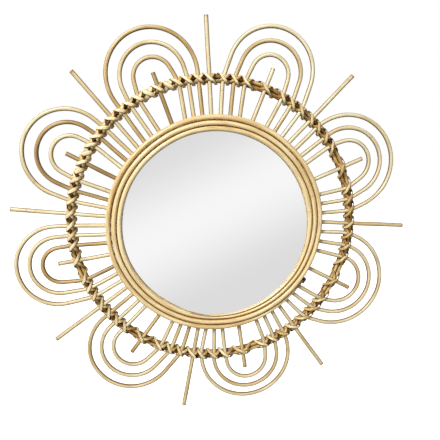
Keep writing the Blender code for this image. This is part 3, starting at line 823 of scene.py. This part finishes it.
points, widths, tones = [], [], []
whole_way = 360.0 * LAST_TURN + INNER_END - OUTER_END
ring_points = round(whole_way / RING_STEP)
for i in range(ring_points + 1):
    turn, gone = divmod(OUTER_END + whole_way * i / ring_points, 360.0)
    outside, inside = seam(int(turn), gone), seam(int(turn) + 1, gone)
    width = outside - inside - RING_GAP
    bearing = SHIFT_BEARING - gone
    off_round = sum(bend * math.exp(-(math.remainder(bearing - at, 360.0) / BEND_SPREAD) ** 2)
                    for at, bend in RING_BENDS)
    p = polar((outside + inside) / 2.0 + off_round, bearing)
    points.append(Vector((p.x, RING_Y + (RING_CANE - width) / 2.0, p.y)) * MM)
    widths.append(width / RING_CANE)
    tones.append(1.0 if turn == 0.0 and gone < OUTER_END + BROWN_END else RING_TONES[int(turn)])
rings = swept("ring_spiral_cane", [{"points": points, "wide": widths, "tone": tones}],
              Width=RING_CANE * MM, Thickness=RING_CANE * MM, Sides=RING_SIDES, Flat_Back=WHOLE_ROUND,
              Wander=0.0006, Swell=0.05, Material=ring_skin, End_Material=cut_end)
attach(rings, "root")
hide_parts("ring_outer", "ring_middle", "ring_inner")


# The clip is a tab of sheet steel, painted dark, that is pinched between the rings and the board.
# Only its end shows, which is folded forward along the side of the outermost turn.
CLIP_WIDTH = 9.0
CLIP_THICKNESS = 1.2
CLIP_FOOT = 152.1
CLIP_FOLD = 165.2
CLIP_OUT = 168.1
CLIP_BACK = -9.5
CLIP_FRONT = -17.5
CLIP_BEARING = -33.4
CLIP_ROUNDING = 0.4
CLIP_FULLNESS = 0.6
CLIP_SHARP = 40.0
DUST_SCALE = 900.0        # per metre: specks about a millimetre wide

# Painted steel: almost black, dull, with a trace of dust.
paint, tree = new_material("dark_painted_steel")
place = put(tree, "ShaderNodeTexCoord").outputs["Object"]
dust = put(tree, "ShaderNodeTexNoise", {"Vector": place, "Scale": DUST_SCALE, "Detail": 3.0}).outputs["Fac"]
shade(tree, Base_Color=ramp(tree, dust, [(0.35, "#3a342c"), (0.7, "#5c5345")]), Roughness=0.55, Metallic=0.0)
bm = bmesh.new()
outline = ((CLIP_FOOT, CLIP_BACK), (CLIP_OUT, CLIP_BACK), (CLIP_OUT, CLIP_FRONT), (CLIP_FOLD, CLIP_FRONT),
           (CLIP_FOLD, CLIP_BACK - CLIP_THICKNESS), (CLIP_FOOT, CLIP_BACK - CLIP_THICKNESS))
outwards = polar(1.0, CLIP_BEARING)
across = polar(CLIP_WIDTH / 2.0, CLIP_BEARING + 90.0)
sides = []
for side in (-1.0, 1.0):
    places = [outwards * radius + across * side for radius, _ in outline]
    sides.append([bm.verts.new((p.x * MM, y * MM, p.y * MM)) for p, (_, y) in zip(places, outline)])
    bm.faces.new(sides[-1])
for i in range(len(outline)):
    bm.faces.new((sides[0][i - 1], sides[0][i], sides[1][i], sides[1][i - 1]))
bmesh.ops.recalc_face_normals(bm, faces=bm.faces)
bmesh.ops.bevel(bm, geom=bm.edges[:], offset=CLIP_ROUNDING * MM, segments=2, affect="EDGES",
                profile=CLIP_FULLNESS)
clip_mesh = bpy.data.meshes.new("rim_clip_folded")
bm.to_mesh(clip_mesh)
bm.free()
clip_mesh.shade_smooth()
clip_mesh.set_sharp_from_angle(angle=math.radians(CLIP_SHARP))
clip = show("rim_clip_folded", clip_mesh, paint)
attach(clip, "root")
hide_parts("rim_clip")


# The stage: a plain pale floor well below the mirror, a soft white dome, and one large soft lamp
# at the upper left.
FLOOR_LEVEL = -0.9
FLOOR_HALF = 8.0
WHITE = (1.0, 1.0, 1.0, 1.0)

# Matt white paint with a glow of its own, so that the floor is as pale near by as far away.
floor_paint, tree = new_material("pale_floor")
shade(tree, Base_Color=linear("#f4f4f2"), Roughness=0.9, Emission_Color=WHITE, Emission_Strength=0.95)
bm = bmesh.new()
bm.faces.new([bm.verts.new((x * FLOOR_HALF, y * FLOOR_HALF, FLOOR_LEVEL))
              for x, y in ((-1, -1), (1, -1), (1, 1), (-1, 1))])
floor_mesh = bpy.data.meshes.new("floor")
bm.to_mesh(floor_mesh)
bm.free()
floor = show("floor", floor_mesh, floor_paint)
floor.visible_diffuse = False
floor.visible_glossy = False

world = bpy.data.worlds.new("studio")
bpy.context.scene.world = world
world.use_nodes = True
tree = world.node_tree
tree.nodes.clear()
towards = put(tree, "ShaderNodeTexCoord").outputs["Generated"]


def facing(direction):
    """How nearly a ray of light comes from a direction: 1 from there, -1 from opposite."""
    dot = put(tree, "ShaderNodeVectorMath", {0: towards, 1: direction}, operation="DOT_PRODUCT")
    return dot.outputs["Value"]


# The dome is bright at the upper left of the mirror, and dim and warm at the lower right, as light
# is that comes back from wood, with some light from straight behind for the mirror's back. In
# front of it hangs a grey sheet with a white band slanting across it, which the glass reflects.
FILL_COLOUR = "#ffe2bc"
KEY_SIDE = (-0.50, -0.50, 0.70)
KEY_LIGHT = 0.76          # strength at the dome's brightest place,
LEAST_LIGHT = 0.02        # and at its dimmest
KEY_FALL = 2.6            # how fast it falls off from one to the other
WALL_SIDE = (0.0, 1.0, 0.0)
BACK_LIGHT = 0.55
BACK_EDGE = (0.35, 0.90)     # cosines off straight behind where that light begins, and where it is full
SHEET_MIDDLE = (0.105, -0.980, -0.170)
SHEET_EDGE = (0.82, 0.92)    # cosines off its middle where the sheet has faded out, and where it is whole
SHEET_GREY = 0.79
BAND_WHITE = 1.02
BAND_ACROSS = (-0.428, -0.199, 0.881)
BAND_SHIFT = 0.023
BAND_HALF = 0.165
key_share = put(tree, "ShaderNodeMapRange", {"Value": facing(KEY_SIDE), "From Min": -1.0, "From Max": 1.0})
lit = key_share.outputs[0]
graded = put(tree, "ShaderNodeMath", {0: lit, 1: KEY_FALL}, operation="POWER").outputs[0]
front = put(tree, "ShaderNodeMath", {0: graded, 1: KEY_LIGHT, 2: LEAST_LIGHT}, operation="MULTIPLY_ADD")
behind = put(tree, "ShaderNodeMapRange", {"Value": facing(WALL_SIDE), "From Min": BACK_EDGE[0],
                                          "From Max": BACK_EDGE[1], "To Max": BACK_LIGHT},
             interpolation_type="SMOOTHSTEP")
base = put(tree, "ShaderNodeMath", {0: front.outputs[0], 1: behind.outputs[0]}, operation="ADD").outputs[0]
off_band = put(tree, "ShaderNodeMath", {0: facing(BAND_ACROSS), 1: BAND_SHIFT}, operation="SUBTRACT")
away = put(tree, "ShaderNodeMath", {0: off_band.outputs[0]}, operation="ABSOLUTE").outputs[0]
band = put(tree, "ShaderNodeMapRange", {"Value": away, "From Min": 0.0, "From Max": BAND_HALF,
                                        "To Min": BAND_WHITE, "To Max": SHEET_GREY},
           interpolation_type="SMOOTHSTEP").outputs[0]
inside = put(tree, "ShaderNodeMapRange", {"Value": facing(SHEET_MIDDLE), "From Min": SHEET_EDGE[0],
                                          "From Max": SHEET_EDGE[1]},
             interpolation_type="SMOOTHSTEP").outputs[0]
strength = put(tree, "ShaderNodeMix", {0: inside, 2: base, 3: band}).outputs[0]
cast = ramp(tree, lit, [(0.15, FILL_COLOUR), (0.75, "#ffffff")])
whole = put(tree, "ShaderNodeMix", {0: inside, 6: cast, 7: WHITE}, data_type="RGBA").outputs[2]
dome = put(tree, "ShaderNodeBackground", {"Color": whole, "Strength": strength})
backdrop = put(tree, "ShaderNodeBackground", {"Color": WHITE, "Strength": 1.0})
seen = put(tree, "ShaderNodeLightPath").outputs["Is Camera Ray"]
both = put(tree, "ShaderNodeMixShader", {0: seen, 1: dome.outputs[0], 2: backdrop.outputs[0]})
put(tree, "ShaderNodeOutputWorld", {"Surface": both.outputs[0]})

LAMP_PLACE = (-1.2, -1.5, 1.5)
LAMP_SIZE = 0.9
LAMP_POWER = 67.0
lamp = bpy.data.objects.new("key", bpy.data.lights.new("key", "AREA"))
lamp.data.shape = "DISK"
lamp.data.size = LAMP_SIZE
lamp.data.energy = LAMP_POWER
lamp.location = LAMP_PLACE
lamp.rotation_euler = (-lamp.location).to_track_quat("-Z", "Y").to_euler()
bpy.context.scene.collection.objects.link(lamp)

bpy.context.scene.view_settings.view_transform = "Standard"
